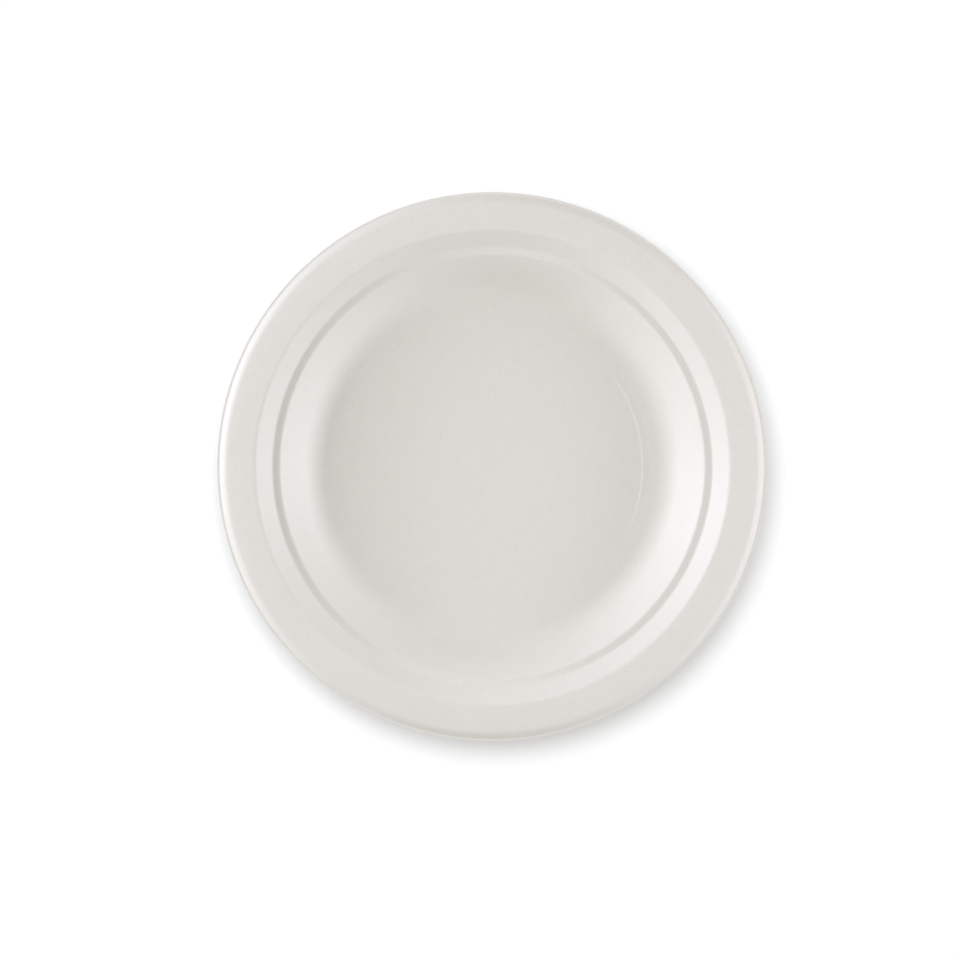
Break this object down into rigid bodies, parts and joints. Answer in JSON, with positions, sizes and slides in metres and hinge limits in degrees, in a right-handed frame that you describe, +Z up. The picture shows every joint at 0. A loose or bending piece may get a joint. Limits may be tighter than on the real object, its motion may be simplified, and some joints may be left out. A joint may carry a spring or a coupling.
{
  "type": "paper plate",
  "caption": "Round shallow pressed-pulp plate with a flat floor, a sloping wall with a narrow ledge in it, a level rim and a turned-down, flanged lip.",
  "frame": {"origin": "centre of the plate, at the level of the table that it stands on", "axes": "+Z up along the axis of the round plate; X and Y lie in the table"},
  "size_m": [0.228, 0.228, 0.0196],
  "materials": {
    "pulp": "matte"
  },
  "bodies": {
    "root": {"plate": "pulp"}
  },
  "joints": []
}
